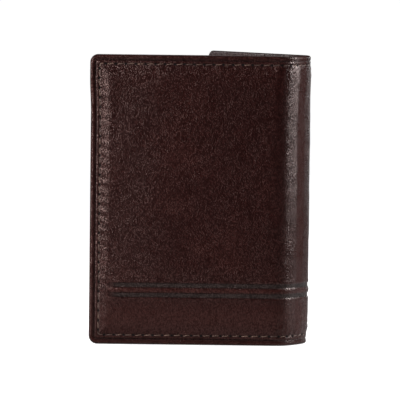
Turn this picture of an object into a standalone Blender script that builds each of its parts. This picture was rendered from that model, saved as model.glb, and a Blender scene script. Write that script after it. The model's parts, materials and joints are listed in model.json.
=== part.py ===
"""Trifold wallet in portrait format, standing ajar on its lower edge.

The wallet is modelled flat, the way it is cut and sewn, and then folded by turning the empties on
its fold axes. In that flat layout +X runs along the wallet from the front leaf to the back leaf,
+Y goes from the outer face into the wallet and +Z is up. Each leaf is a stack of thin pieces, and
every depth below is measured from that leaf's outer face.
"""

from math import cos, pi, radians, sin

import bmesh
import bpy
from mathutils import Vector

MM = 0.001

# Driving dimensions of the whole wallet
HEIGHT = 105 * MM
LEAF_WIDTH = 69.0 * MM  # front and back leaf, from the spine's fold line to the free edge
CORNER = 3.0 * MM
SPINE_DEPTH = 1.5 * MM  # the spine's fold lines lie this deep, just inside the leather
SPINE_WIDTH = 17.5 * MM  # between the two fold lines
SPINE_TURN = radians(61)  # each fold line at rest, so the leaves stand 58 degrees apart
FOLD_GAP = 1.6 * MM  # leather left free on each side of a fold line

# Border seam and the two pressed lines
SEAM_INSET = 3.5 * MM
SEAM_WIDTH = 0.9 * MM
SEAM_DEPTH = 0.62 * MM
THREAD_RADIUS = 0.22 * MM
THIRD_SEAM_DEPTH = 0.45 * MM  # the third leaf's leather is thinner, and so is its thread
THIRD_THREAD_RADIUS = 0.15 * MM
GROOVE_HEIGHTS = (17.6 * MM, 21.2 * MM)
GROOVE_WIDTH = 1.7 * MM
GROOVE_DEPTH = 0.45 * MM

# Layers, as (depth of the outer side, depth of the inner side)
COVER = (0, 1.1 * MM)
SPINE_LINING = (1.25 * MM, 1.45 * MM)
STIFFENER = (1.25 * MM, 1.65 * MM)
LINING = (1.8 * MM, 2.0 * MM)
INNER_PANEL = (2.5 * MM, 3.05 * MM)
SLIP_PANEL = (3.2 * MM, 3.7 * MM)
COIN_GUSSET = (3.8 * MM, 7.85 * MM)
COIN_FRONT = (7.95 * MM, 8.55 * MM)
COIN_FLAP = (9.9 * MM, 10.6 * MM)
UPPER_SLOT = (3.85 * MM, 4.25 * MM)
FLAP_TAB = (4.4 * MM, 4.8 * MM)
CARD_SLOTS = ((3.2 * MM, 3.7 * MM), (3.85 * MM, 4.35 * MM), (4.5 * MM, 5.0 * MM))
THIRD_TAB = (5.15 * MM, 5.6 * MM)

# Coin pocket on the inside of the front leaf
COIN_LEFT = -65.5 * MM
COIN_RIGHT = -8.5 * MM
COIN_BOTTOM = 4.5 * MM
COIN_MOUTH = 47.0 * MM
COIN_WALL = 0.6 * MM
COIN_CORNER = 5.0 * MM
FLAP_LEFT = -64.0 * MM
FLAP_RIGHT = -10.0 * MM
FLAP_PIVOT_DEPTH = 8.0 * MM
FLAP_PIVOT_HEIGHT = 50.5 * MM
FLAP_LENGTH = 21.0 * MM
SNAP_DROP = 13.5 * MM  # snap centre below the flap's fold line

# Card slots on the inside of the back leaf, whose mouths face the spine
SLOT_MOUTHS = (7.0 * MM, 14.0 * MM, 21.0 * MM)
SLOT_END = 66.0 * MM
SLOT_BOTTOM = 4.0 * MM
SLOT_TOP = 98.0 * MM

# Third leaf, folded in on the back leaf
THIRD_PIVOT = 66.8 * MM  # from the spine's second fold line
THIRD_WIDTH = 59.0 * MM
THIRD_THICKNESS = 2.95 * MM
THIRD_CLEARANCE = 0.9 * MM  # above the back leaf's top card slot
THIRD_BOTTOM = 4.0 * MM
THIRD_TOP = 99.0 * MM
THIRD_COVER = (0, 0.8 * MM)
THIRD_STIFFENER = (0.95 * MM, 1.25 * MM)
THIRD_INNER = (1.4 * MM, 1.9 * MM)
WINDOW_FILM = (2.05 * MM, 2.25 * MM)
WINDOW_FRAME = (2.35 * MM, 2.95 * MM)
WINDOW_BORDER = 7.0 * MM

# Snap parts, as (radius, height) profiles from the inner end down the outer side
POST_PROFILE = (
    (0, 1.15 * MM),
    (1.0 * MM, 1.15 * MM),
    (1.0 * MM, 0.28 * MM),
    (3.0 * MM, 0.28 * MM),
    (3.0 * MM, 0),
    (0, 0),
)
STUD_PROFILE = (
    (1.2 * MM, 1.15 * MM),
    (1.75 * MM, 1.15 * MM),
    (2.0 * MM, 0.85 * MM),
    (1.7 * MM, 0.25 * MM),
    (3.8 * MM, 0.25 * MM),
    (3.8 * MM, 0),
    (1.2 * MM, 0),
)
CAP_PROFILE = (
    (0, 1.55 * MM),
    (2.5 * MM, 1.48 * MM),
    (4.4 * MM, 1.2 * MM),
    (5.0 * MM, 0.85 * MM),
    (5.0 * MM, 0.8 * MM),
    (1.15 * MM, 0.8 * MM),
    (1.15 * MM, 0),
    (0, 0),
)
SOCKET_PROFILE = (
    (2.7 * MM, 0.85 * MM),
    (4.6 * MM, 0.85 * MM),
    (4.8 * MM, 0.6 * MM),
    (4.6 * MM, 0),
    (2.7 * MM, 0),
)

THIRD_OUTER_DEPTH = CARD_SLOTS[-1][1] + THIRD_CLEARANCE + THIRD_THICKNESS
# Halfway between the middle of the tab and the middle of the third leaf's leather
THIRD_PIVOT_DEPTH = (sum(THIRD_TAB) / 2 + THIRD_OUTER_DEPTH - THIRD_COVER[1] / 2) / 2

COVER_EDGE = 0.3 * MM  # rounding of the cover's cut edges
PANEL_CORNER = 2.0 * MM
ARC_POINTS = 6  # points along each rounded corner
TURN_STEPS = 24  # facets round a turned part
BEYOND = 5 * MM  # how far a cutter reaches past the piece


# --- helpers ---------------------------------------------------------------------------------


def clear_scene():
    for obj in list(bpy.data.objects):
        bpy.data.objects.remove(obj)


def new_collection(name):
    collection = bpy.data.collections.new(name)
    bpy.context.scene.collection.children.link(collection)
    return collection


def material(name, colour, roughness, metallic=0.0, alpha=1.0):
    """A Principled material of one colour."""
    made = bpy.data.materials.new(name)
    made.use_nodes = True
    shader = made.node_tree.nodes["Principled BSDF"]
    shader.inputs["Base Color"].default_value = (*colour, 1.0)
    shader.inputs["Roughness"].default_value = roughness
    shader.inputs["Metallic"].default_value = metallic
    shader.inputs["Alpha"].default_value = alpha
    return made


def fold_axis(name, parent, location, turn=0.0):
    """An empty on a fold line, turned about the vertical."""
    empty = bpy.data.objects.new(name, None)
    PARTS.objects.link(empty)
    empty.parent = parent
    empty.location = location
    empty.rotation_euler = (0, 0, turn)
    return empty


def hang(obj, body, look, fold_depth):
    """Parents a piece to its body's empty, which lies fold_depth inside the leaf's outer face."""
    obj.parent = body
    obj.location.y -= fold_depth
    obj.data.materials.append(look)


def rounded_outline(left, right, bottom, top, radii):
    """Points of a rectangle. radii go lower left, lower right, upper right, upper left."""
    corners = (
        (left, bottom, pi, radii[0]),
        (right, bottom, 1.5 * pi, radii[1]),
        (right, top, 0, radii[2]),
        (left, top, 0.5 * pi, radii[3]),
    )
    points = []
    for x, z, start, radius in corners:
        if radius == 0:
            points.append((x, z))
            continue
        centre_x = x + radius if x == left else x - radius
        centre_z = z + radius if z == bottom else z - radius
        for step in range(ARC_POINTS):
            angle = start + 0.5 * pi * step / (ARC_POINTS - 1)
            points.append((centre_x + radius * cos(angle), centre_z + radius * sin(angle)))
    return points


def sheet(name, outlines, layer):
    """A flat piece that fills its layer. Outlines after the first are holes in it."""
    curve = bpy.data.curves.new(name, "CURVE")
    curve.dimensions = "2D"
    curve.fill_mode = "BOTH"
    curve.extrude = (layer[1] - layer[0]) / 2
    for points in outlines:
        spline = curve.splines.new("POLY")
        spline.points.add(len(points) - 1)
        for point, (x, z) in zip(spline.points, points):
            point.co = (x, z, 0, 1)
        spline.use_cyclic_u = True
    obj = bpy.data.objects.new(name, curve)
    PARTS.objects.link(obj)
    obj.rotation_euler = (pi / 2, 0, 0)
    obj.location = (0, (layer[0] + layer[1]) / 2, 0)
    return obj


def round_edges(obj, width):
    """Bevels the edges of a flat piece, whose caps are welded on first."""
    weld = obj.modifiers.new("weld", "WELD")
    weld.merge_threshold = 1e-6
    bevel = obj.modifiers.new("bevel", "BEVEL")
    bevel.width = width
    bevel.segments = 2
    bevel.limit_method = "ANGLE"
    bevel.angle_limit = radians(60)
    return obj


def as_mesh(curve_object):
    """The same object as a mesh with its caps welded, ready for a Boolean."""
    bpy.context.view_layer.update()
    graph = bpy.context.evaluated_depsgraph_get()
    mesh = bpy.data.meshes.new_from_object(curve_object.evaluated_get(graph))
    shape = bmesh.new()
    shape.from_mesh(mesh)
    bmesh.ops.remove_doubles(shape, verts=shape.verts, dist=1e-6)
    bmesh.ops.recalc_face_normals(shape, faces=shape.faces)
    shape.to_mesh(mesh)
    shape.free()
    name = curve_object.name
    matrix = curve_object.matrix_world.copy()
    bpy.data.objects.remove(curve_object)
    made = bpy.data.objects.new(name, mesh)
    PARTS.objects.link(made)
    made.matrix_world = matrix
    return made


def as_cutter(obj, name):
    obj.name = name
    obj.hide_render = True
    obj.display_type = "WIRE"
    for collection in list(obj.users_collection):
        collection.objects.unlink(obj)
    CUTTERS.objects.link(obj)
    return obj


def box_cutter(name, low, high):
    low, high = Vector(low), Vector(high)
    bpy.ops.mesh.primitive_cube_add(size=1, location=(low + high) / 2, scale=high - low)
    bpy.ops.object.transform_apply(location=False, rotation=False, scale=True)
    return as_cutter(bpy.context.object, name)


def pin_cutter(name, centre, radius, low, high):
    """A round cutter through the depths from low to high."""
    bpy.ops.mesh.primitive_cylinder_add(
        vertices=TURN_STEPS,
        radius=radius,
        depth=high - low,
        location=(centre[0], (low + high) / 2, centre[1]),
        rotation=(pi / 2, 0, 0),
    )
    return as_cutter(bpy.context.object, name)


def cut(obj, cutters):
    """Cuts every cutter out of a mesh. The cutters follow the piece when it is hung on its body."""
    bpy.context.view_layer.update()
    for cutter in cutters:
        cutter.parent = obj
        cutter.matrix_parent_inverse = obj.matrix_world.inverted()
        boolean = obj.modifiers.new(cutter.name, "BOOLEAN")
        boolean.operation = "DIFFERENCE"
        boolean.solver = "EXACT"
        boolean.object = cutter


def thread(name, points, radius):
    """A sewing thread that follows a line of points."""
    curve = bpy.data.curves.new(name, "CURVE")
    curve.dimensions = "3D"
    curve.bevel_depth = radius
    curve.bevel_resolution = 1
    curve.use_fill_caps = True
    spline = curve.splines.new("POLY")
    spline.points.add(len(points) - 1)
    for point, co in zip(spline.points, points):
        point.co = (*co, 1)
    obj = bpy.data.objects.new(name, curve)
    PARTS.objects.link(obj)
    return obj


def turned(name, profile, centre, depth):
    """A round part, from a profile of (radius, height) points that starts at its inner end.

    The profile runs from the highest point down its outer side. Height becomes depth.
    """
    mesh = bpy.data.meshes.new(name)
    vertices = [(radius, 0, height) for radius, height in profile]
    closed = profile[0][0] > 0
    edges = [(i, i + 1) for i in range(len(profile) - 1)]
    if closed:
        edges.append((len(profile) - 1, 0))
    mesh.from_pydata(vertices, edges, [])
    obj = bpy.data.objects.new(name, mesh)
    PARTS.objects.link(obj)
    screw = obj.modifiers.new("turn", "SCREW")
    screw.steps = TURN_STEPS
    screw.render_steps = TURN_STEPS
    screw.use_merge_vertices = True
    screw.merge_threshold = 1e-6
    obj.rotation_euler = (-pi / 2, 0, 0)
    obj.location = (centre[0], depth, centre[1])
    return obj


# --- outer leather, the seam in it and the thread in the seam ---------------------------------


def level_channels(name, left, right, bottom, top, depth):
    """Cutters for the seam channel along the lower and the upper edge."""
    half = SEAM_WIDTH / 2
    cutters = []
    for label, z in (("low", bottom + SEAM_INSET), ("high", top - SEAM_INSET)):
        low = (left, -BEYOND, z - half)
        high = (right, depth, z + half)
        cutters.append(box_cutter(f"{name}_channel_{label}", low, high))
    return cutters


def leaf_channels(name, fold_x, seam_x, bottom, top, depth):
    """Cutters for the seam channel on three sides, from the fold side round the free edge."""
    half = SEAM_WIDTH / 2
    outward = half if seam_x > fold_x else -half
    past_fold = -BEYOND if seam_x > fold_x else BEYOND
    left, right = sorted((fold_x + past_fold, seam_x + outward))
    cutters = level_channels(name, left, right, bottom, top, depth)
    low = (seam_x - half, -BEYOND, bottom + SEAM_INSET)
    high = (seam_x + half, depth, top - SEAM_INSET)
    cutters.append(box_cutter(f"{name}_channel_side", low, high))
    return cutters


def groove_cutters(name, left, right):
    """Cutters for the two pressed lines."""
    cutters = []
    for number, z in enumerate(GROOVE_HEIGHTS, 1):
        low = (left - BEYOND, -BEYOND, z - GROOVE_WIDTH / 2)
        high = (right + BEYOND, GROOVE_DEPTH, z + GROOVE_WIDTH / 2)
        cutters.append(box_cutter(f"{name}_groove_{number}", low, high))
    return cutters


def leaf_thread(name, fold_x, seam_x, bottom, top, depth, radius):
    """The thread in a leaf's seam channel, turning its two corners with a short slant."""
    slant = 0.2 * MM if seam_x < fold_x else -0.2 * MM
    end_x = fold_x - 2 * slant
    low, high = bottom + SEAM_INSET, top - SEAM_INSET
    route = (
        (end_x, low),
        (seam_x + slant, low),
        (seam_x, low + abs(slant)),
        (seam_x, high - abs(slant)),
        (seam_x + slant, high),
        (end_x, high),
    )
    return thread(name, [(x, depth / 2, z) for x, z in route], radius)


def cover_leather(name, outline, layer, edge, cutters):
    """Outer leather with rounded edges, its seam channels and its pressed lines."""
    plate = as_mesh(round_edges(sheet(name, [outline], layer), edge))
    cut(plate, cutters)
    return plate


# --- the five bodies --------------------------------------------------------------------------


def front_leaf(body):
    """Cover, bill compartment wall, card slots and coin pocket of the front leaf."""
    left, right = -LEAF_WIDTH, -FOLD_GAP
    seam_x = left + SEAM_INSET
    cutters = leaf_channels("front", right, seam_x, 0, HEIGHT, SEAM_DEPTH)
    cutters += groove_cutters("front", left, right)
    outline = rounded_outline(left, right, 0, HEIGHT, (CORNER, 0, 0, CORNER))
    hang(cover_leather("front_cover_leather", outline, COVER, COVER_EDGE, cutters), body, LEATHER, 0)
    seam = leaf_thread("front_seam_thread", right, seam_x, 0, HEIGHT, SEAM_DEPTH, THREAD_RADIUS)
    hang(seam, body, THREAD, 0)

    flat_pieces = (
        ("front_stiffener", -65.0, -5.0, 5.0, 100.0, STIFFENER, BOARD),
        ("front_lining", -67.5, -2.6, 1.5, 103.2, LINING, CLOTH),
        ("front_inner_panel", -68.0, -4.0, 1.0, 100.5, INNER_PANEL, LEATHER),
        ("front_slip_panel", -67.0, -5.0, 1.5, 90.0, SLIP_PANEL, LEATHER),
        ("front_card_slot", -66.0, -6.0, 49.5, 80.0, UPPER_SLOT, LEATHER),
        ("coin_flap_tab", -64.0, -10.0, 51.5, 57.0, FLAP_TAB, LEATHER),
    )
    for name, x0, x1, z0, z1, layer, look in flat_pieces:
        radii = (PANEL_CORNER, 0, 0, PANEL_CORNER)
        outline = rounded_outline(x0 * MM, x1 * MM, z0 * MM, z1 * MM, radii)
        hang(sheet(name, [outline], layer), body, look, 0)
    coin_pocket(body)


def coin_pocket(body):
    """Gusset and front of the coin pocket, with the fixed half of its snap."""
    wall = COIN_WALL
    radii = (COIN_CORNER, COIN_CORNER, 0, 0)
    outer = rounded_outline(COIN_LEFT, COIN_RIGHT, COIN_BOTTOM, COIN_MOUTH, radii)
    radii = (COIN_CORNER - wall, COIN_CORNER - wall, 0, 0)
    inner = rounded_outline(
        COIN_LEFT + wall, COIN_RIGHT - wall, COIN_BOTTOM + wall, COIN_MOUTH, radii
    )
    # Both outlines end with their upper corners, right and then left, where the wall's two sides meet.
    wall_outline = outer[:-1] + inner[-2::-1] + [inner[-1], outer[-1]]
    hang(sheet("coin_pocket_gusset", [wall_outline], COIN_GUSSET), body, LEATHER, 0)

    front = as_mesh(sheet("coin_pocket_front", [outer], COIN_FRONT))
    centre = ((FLAP_LEFT + FLAP_RIGHT) / 2, FLAP_PIVOT_HEIGHT - SNAP_DROP)
    low, high = COIN_FRONT[0] - BEYOND, COIN_FRONT[1] + BEYOND
    hole = pin_cutter("post_hole", centre, 1.3 * MM, low, high)
    recess = pin_cutter("post_recess", centre, 3.2 * MM, low, COIN_FRONT[0] + 0.35 * MM)
    cut(front, [hole, recess])
    hang(front, body, LEATHER, 0)
    hang(turned("snap_post", POST_PROFILE, centre, COIN_FRONT[0] + 0.02 * MM), body, METAL, 0)
    hang(turned("snap_stud", STUD_PROFILE, centre, COIN_FRONT[1] + 0.05 * MM), body, METAL, 0)


def coin_flap(body):
    """The coin pocket's flap with the moving half of the snap, made about its fold line."""
    radii = (COIN_CORNER, COIN_CORNER, 0, 0)
    outline = rounded_outline(FLAP_LEFT, FLAP_RIGHT, -FLAP_LENGTH, -0.5 * MM, radii)
    flap = as_mesh(sheet("coin_flap_leather", [outline], COIN_FLAP))
    centre = ((FLAP_LEFT + FLAP_RIGHT) / 2, -SNAP_DROP)
    hole = pin_cutter("cap_hole", centre, 1.4 * MM, COIN_FLAP[0] - BEYOND, COIN_FLAP[1] + BEYOND)
    cut(flap, [hole])
    hang(flap, body, LEATHER, FLAP_PIVOT_DEPTH)
    cap = turned("snap_cap", CAP_PROFILE, centre, COIN_FLAP[0] - 0.05 * MM)
    hang(cap, body, METAL, FLAP_PIVOT_DEPTH)
    socket = turned("snap_socket", SOCKET_PROFILE, centre, COIN_FLAP[0] - 0.95 * MM)
    hang(socket, body, METAL, FLAP_PIVOT_DEPTH)


def spine(body):
    """The strip of cover and lining between the two fold lines."""
    left, right = 0.4 * MM - FOLD_GAP, SPINE_WIDTH + FOLD_GAP - 0.4 * MM
    cutters = level_channels("spine", left - BEYOND, right + BEYOND, 0, HEIGHT, SEAM_DEPTH)
    cutters += groove_cutters("spine", left, right)
    outline = rounded_outline(left, right, 0, HEIGHT, (0, 0, 0, 0))
    cover = cover_leather("spine_leather", outline, COVER, COVER_EDGE, cutters)
    hang(cover, body, LEATHER, SPINE_DEPTH)
    outline = rounded_outline(0, SPINE_WIDTH, 1.5 * MM, 103.2 * MM, (0, 0, 0, 0))
    hang(sheet("spine_lining", [outline], SPINE_LINING), body, CLOTH, SPINE_DEPTH)
    for label, z in (("low", SEAM_INSET), ("high", HEIGHT - SEAM_INSET)):
        ends = [(x, SEAM_DEPTH / 2, z) for x in (left + 0.4 * MM, right - 0.4 * MM)]
        seam = thread("spine_seam_thread_" + label, ends, THREAD_RADIUS)
        hang(seam, body, THREAD, SPINE_DEPTH)


def back_leaf(body):
    """Cover, bill compartment wall, card slots and the tab that the third leaf is sewn to."""
    left, right = FOLD_GAP, LEAF_WIDTH
    seam_x = right - SEAM_INSET
    cutters = leaf_channels("back", left, seam_x, 0, HEIGHT, SEAM_DEPTH)
    cutters += groove_cutters("back", left, right)
    outline = rounded_outline(left, right, 0, HEIGHT, (0, CORNER, CORNER, 0))
    cover = cover_leather("back_cover_leather", outline, COVER, COVER_EDGE, cutters)
    hang(cover, body, LEATHER, SPINE_DEPTH)
    seam = leaf_thread("back_seam_thread", left, seam_x, 0, HEIGHT, SEAM_DEPTH, THREAD_RADIUS)
    hang(seam, body, THREAD, SPINE_DEPTH)

    flat_pieces = (
        ("back_stiffener", 5.0, 65.0, 5.0, 100.0, STIFFENER, BOARD),
        ("back_lining", 2.6, 67.5, 1.5, 103.2, LINING, CLOTH),
        ("back_inner_panel", 4.0, 68.0, 1.0, 100.5, INNER_PANEL, LEATHER),
        ("third_leaf_tab", 60.3, 64.9, 4.5, 97.5, THIRD_TAB, LEATHER),
    )
    for name, x0, x1, z0, z1, layer, look in flat_pieces:
        radii = (0, PANEL_CORNER, PANEL_CORNER, 0)
        outline = rounded_outline(x0 * MM, x1 * MM, z0 * MM, z1 * MM, radii)
        hang(sheet(name, [outline], layer), body, look, SPINE_DEPTH)
    for number, (mouth, layer) in enumerate(zip(SLOT_MOUTHS, CARD_SLOTS), 1):
        outline = rounded_outline(mouth, SLOT_END, SLOT_BOTTOM, SLOT_TOP, (0, 0, 0, 0))
        hang(sheet(f"back_card_slot_{number}", [outline], layer), body, LEATHER, SPINE_DEPTH)


def third_leaf(body):
    """The leaf that folds in on the back leaf, with a clear card window on its inner side."""
    outside = THIRD_OUTER_DEPTH - THIRD_PIVOT_DEPTH
    left, right = 1.5 * MM, THIRD_WIDTH
    seam_x = right - SEAM_INSET
    cutters = leaf_channels("third", left, seam_x, THIRD_BOTTOM, THIRD_TOP, THIRD_SEAM_DEPTH)
    outline = rounded_outline(left, right, THIRD_BOTTOM, THIRD_TOP, (0, CORNER, CORNER, 0))
    cover = cover_leather("third_leaf_leather", outline, THIRD_COVER, 0.2 * MM, cutters)
    hang(cover, body, LEATHER, outside)
    seam = leaf_thread(
        "third_seam_thread", left, seam_x, THIRD_BOTTOM, THIRD_TOP, THIRD_SEAM_DEPTH, THIRD_THREAD_RADIUS
    )
    hang(seam, body, THREAD, outside)

    flat_pieces = (
        ("third_stiffener", 6.0, 55.0, 8.0, 95.0, THIRD_STIFFENER, BOARD),
        ("third_inner_panel", 3.0, 58.2, 4.8, 98.2, THIRD_INNER, LEATHER),
        ("card_window_film", 6.0, 55.5, 8.0, 92.0, WINDOW_FILM, CLEAR),
    )
    radii = (0, PANEL_CORNER, PANEL_CORNER, 0)
    for name, x0, x1, z0, z1, layer, look in flat_pieces:
        outline = rounded_outline(x0 * MM, x1 * MM, z0 * MM, z1 * MM, radii)
        hang(sheet(name, [outline], layer), body, look, outside)
    x0, x1, z0, z1 = 3.5 * MM, 58.2 * MM, 4.8 * MM, 96.0 * MM
    side, end = WINDOW_BORDER, WINDOW_BORDER + 1 * MM
    frame = rounded_outline(x0, x1, z0, z1, radii)
    window = rounded_outline(x0 + side, x1 - side, z0 + end, z1 - end, (CORNER,) * 4)
    hang(sheet("card_window_frame", [frame, window[::-1]], WINDOW_FRAME), body, LEATHER, outside)


def stand_over_origin(root):
    """Moves the whole wallet so that the middle of its footprint is at the origin."""
    bpy.context.view_layer.update()
    graph = bpy.context.evaluated_depsgraph_get()
    corners = [
        obj.evaluated_get(graph).matrix_world @ vertex.co
        for obj in PARTS.objects
        if obj.type != "EMPTY"
        for vertex in obj.evaluated_get(graph).to_mesh().vertices
    ]
    for axis in (0, 1):
        values = [corner[axis] for corner in corners]
        root.location[axis] -= (min(values) + max(values)) / 2


clear_scene()
PARTS = new_collection("trifold_wallet")
CUTTERS = new_collection("cutters")
LEATHER = material("dark_brown_leather", (0.035, 0.013, 0.011), 0.38)
BOARD = material("stiffener_board", (0.35, 0.27, 0.19), 0.9)
CLOTH = material("lining_cloth", (0.03, 0.022, 0.02), 0.85)
THREAD = material("sewing_thread", (0.10, 0.065, 0.04), 0.7)
METAL = material("antique_brass", (0.45, 0.33, 0.16), 0.35, metallic=1.0)
CLEAR = material("clear_film", (0.85, 0.87, 0.88), 0.1, alpha=0.3)

third_place = (THIRD_PIVOT, THIRD_PIVOT_DEPTH - SPINE_DEPTH, 0)
front_body = fold_axis("front_leaf", None, (0, 0, 0))
spine_body = fold_axis("spine", front_body, (0, SPINE_DEPTH, 0), SPINE_TURN)
back_body = fold_axis("back_leaf", spine_body, (SPINE_WIDTH, 0, 0), SPINE_TURN)
third_body = fold_axis("third_leaf", back_body, third_place, pi)
flap_body = fold_axis("coin_flap", front_body, (0, FLAP_PIVOT_DEPTH, FLAP_PIVOT_HEIGHT))

front_leaf(front_body)
coin_flap(flap_body)
spine(spine_body)
back_leaf(back_body)
third_leaf(third_body)
stand_over_origin(front_body)
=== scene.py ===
import json
import math

import bpy
import numpy as np
from mathutils import Matrix, Vector


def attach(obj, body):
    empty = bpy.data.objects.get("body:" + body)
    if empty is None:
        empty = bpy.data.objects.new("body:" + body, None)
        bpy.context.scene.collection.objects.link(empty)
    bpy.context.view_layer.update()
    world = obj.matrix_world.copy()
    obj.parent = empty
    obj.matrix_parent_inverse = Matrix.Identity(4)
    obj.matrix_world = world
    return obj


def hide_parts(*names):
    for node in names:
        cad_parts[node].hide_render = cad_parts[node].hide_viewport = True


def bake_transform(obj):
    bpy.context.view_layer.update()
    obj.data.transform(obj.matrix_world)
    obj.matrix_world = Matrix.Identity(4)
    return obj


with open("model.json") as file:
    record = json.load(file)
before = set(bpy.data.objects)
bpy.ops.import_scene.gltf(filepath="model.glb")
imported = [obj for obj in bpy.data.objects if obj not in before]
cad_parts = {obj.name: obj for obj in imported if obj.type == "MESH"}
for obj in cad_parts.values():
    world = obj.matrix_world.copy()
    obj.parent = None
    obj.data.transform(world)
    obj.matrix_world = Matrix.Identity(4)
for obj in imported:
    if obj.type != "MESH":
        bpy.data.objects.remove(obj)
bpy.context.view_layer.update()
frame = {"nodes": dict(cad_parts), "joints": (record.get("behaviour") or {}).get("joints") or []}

# Everything below is worked out in millimetres and turned into metres where a mesh is made.
# A piece is laid out flat first: s runs along the sheet's path, v across it, and depth goes from
# the leaf's outer face into the wallet.
MM = 0.001
pivot = {j["name"]: np.array(j["pos_m"]) / MM for j in frame["joints"]}
SPINE_FRONT = pivot["spine_front_fold"][:2]
SPINE_BACK = pivot["spine_back_fold"][:2]

HEIGHT = 105.0
LEAF = 69.0  # from the free side edge to the fold line
CORNER = 3.0
FOLD_DEPTH = 1.5  # of a fold line below the outer face
SPINE = 17.5  # between the two fold lines
SPINE_ARC = 26.5  # length of leather from flat leaf to flat leaf round the spine
FOLD_PART = 0.32  # share of that length in each fold
ROUNDNESS = 0.30  # share of the turn that is spread evenly between the folds
SEAM = 3.4  # inset of the border seam
CREASE = 2.0  # inset of the pressed crease along the edge
STITCH = 3.5  # pitch of the border seam
GROOVES = (18.0, 21.6)  # heights of the two pressed lines
TURN = math.atan2(*(SPINE_BACK - SPINE_FRONT)[::-1])
FRONT_FACE = SPINE_FRONT[1] - FOLD_DEPTH


# --- small numeric helpers ---


def smooth(x, low, high):
    t = np.clip((x - low) / (high - low), 0, 1)
    return t * t * (3 - 2 * t)


def bump(x, centre, width):
    return np.exp(-(((x - centre) / width) ** 2))


def waves(a, b, length):
    """Slow unevenness between -1 and 1, from sines that don't repeat together."""
    k = 2 * math.pi / length
    return (
        np.sin(k * (a + 0.31 * b) + 0.7) * np.sin(k * (0.83 * b - 0.17 * a) + 2.1)
        + 0.6 * np.sin(k * (1.7 * a - 0.9 * b) + 4.4)
        + 0.4 * np.sin(k * (2.9 * b + 0.4 * a) + 1.3)
    ) / 2


def steps(*runs):
    """Grid lines from (start, end, pitch) runs that follow each other."""
    lines = [np.array([runs[0][0]])]
    for start, end, pitch in runs:
        count = max(1, round((end - start) / pitch))
        lines.append(np.linspace(start, end, count + 1)[1:])
    return np.concatenate(lines)


def edge_lines(length, rim, pitch):
    """Grid lines that crowd together at both ends, for a rounded edge."""
    ends = np.array([0, 0.04, 0.14, 0.3, 0.5, 0.75, 1.0]) * rim
    count = max(2, round((length - 2 * rim) / pitch))
    return np.concatenate((ends[:-1], np.linspace(rim, length - rim, count + 1), length - ends[-2::-1]))


def far_edge(length, edge=2.4):
    """The last runs of grid lines, which crowd together towards a free edge."""
    return (length - edge, length - 0.4, 0.25), (length - 0.4, length, 0.1)


def panel_lines(length, pitch=1.3, edge=2.4):
    return steps((0, 0.4, 0.1), (0.4, edge, 0.25), (edge, length - edge, pitch), *far_edge(length, edge))


def thin_lines(length, pitch, rim=0.2, fine=0.1):
    return steps((0, rim, fine), (rim, length - rim, pitch), (length - rim, length, fine))


# --- the paths that sheets follow ---


def eased(t):
    return smooth(t, 0, 1)


def even(t):
    return t


def spine_shape(t):
    """Share of the spine's turn reached at t: most of it in the two folds, the rest spread between them."""
    folds = smooth(t, 0, FOLD_PART) + smooth(t, 1 - FOLD_PART, 1)
    return (1 - ROUNDNESS) / 2 * folds + ROUNDNESS * t


class Path:
    """A line in plan or in section, made of (length, turn) runs, which turn as the shape says."""

    def __init__(self, start, heading, runs, shape=eased):
        step = 0.02
        headings = [np.array([heading])]
        for length, turn in runs:
            t = np.linspace(0, 1, max(2, round(length / step)) + 1)[1:]
            headings.append(headings[-1][-1] + turn * shape(t))
        lengths = [np.zeros(1)]
        for (length, _), part in zip(runs, headings[1:]):
            lengths.append(np.full(len(part), length / len(part)))
        self.heading = np.concatenate(headings)
        ds = np.concatenate(lengths)
        middle = self.heading - np.diff(self.heading, prepend=self.heading[0]) / 2
        self.s = np.cumsum(ds)
        self.x = start[0] + np.cumsum(ds * np.cos(middle))
        self.y = start[1] + np.cumsum(ds * np.sin(middle))
        self.length = self.s[-1]

    def at(self, s, right):
        """Points at s, moved to the right of the heading by the given distance."""
        heading = np.interp(s, self.s, self.heading)
        beyond = s - np.clip(s, 0, self.length)
        x = np.interp(s, self.s, self.x) + beyond * np.cos(heading) + right * np.sin(heading)
        y = np.interp(s, self.s, self.y) + beyond * np.sin(heading) - right * np.cos(heading)
        return x, y


def points_of(place, *where):
    return np.stack(np.broadcast_arrays(*place(*where)), -1)


def turned_by(angle):
    return np.array([math.cos(angle), math.sin(angle)])


back_along, back_in = turned_by(2 * TURN), turned_by(2 * TURN + math.pi / 2)


def front_leaf_place(x, z, depth):
    """World position from the front leaf's own layout, with x to the left of the fold line below 0."""
    return SPINE_FRONT[0] + x, FRONT_FACE + depth, z


def back_leaf_place(x, z, depth):
    across = depth - FOLD_DEPTH
    world_x = SPINE_BACK[0] + x * back_along[0] + across * back_in[0]
    world_y = SPINE_BACK[1] + x * back_along[1] + across * back_in[1]
    return world_x, world_y, z


corner = FOLD_DEPTH * math.tan(TURN / 2)
apex = 2 * math.cos(TURN)  # a chord's length for each mm from where the two leaves' planes would meet
arc = Path((0, 0), 0, [(SPINE_ARC, 2 * TURN)], spine_shape)
straight = LEAF + corner + (SPINE + 2 * corner - math.hypot(arc.x[-1], arc.y[-1])) / apex
cover_path = Path(
    (SPINE_FRONT[0] - LEAF, FRONT_FACE), 0.0,
    [(straight, 0), (SPINE_ARC, 2 * TURN), (straight, 0)], spine_shape,
)
MIDDLE = cover_path.length / 2
FIRST_BEND = straight + FOLD_PART * SPINE_ARC / 2
SECOND_BEND = cover_path.length - FIRST_BEND
FLARE = 0.42  # how far the front leaf's upper free corner is stretched outwards


def cover_place(s, z, depth):
    flare = FLARE * smooth(z, 84, 97) * (1 - smooth(s, 0, 25))
    x, y = cover_path.at(s - flare, -depth)
    return x, y, z


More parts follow.
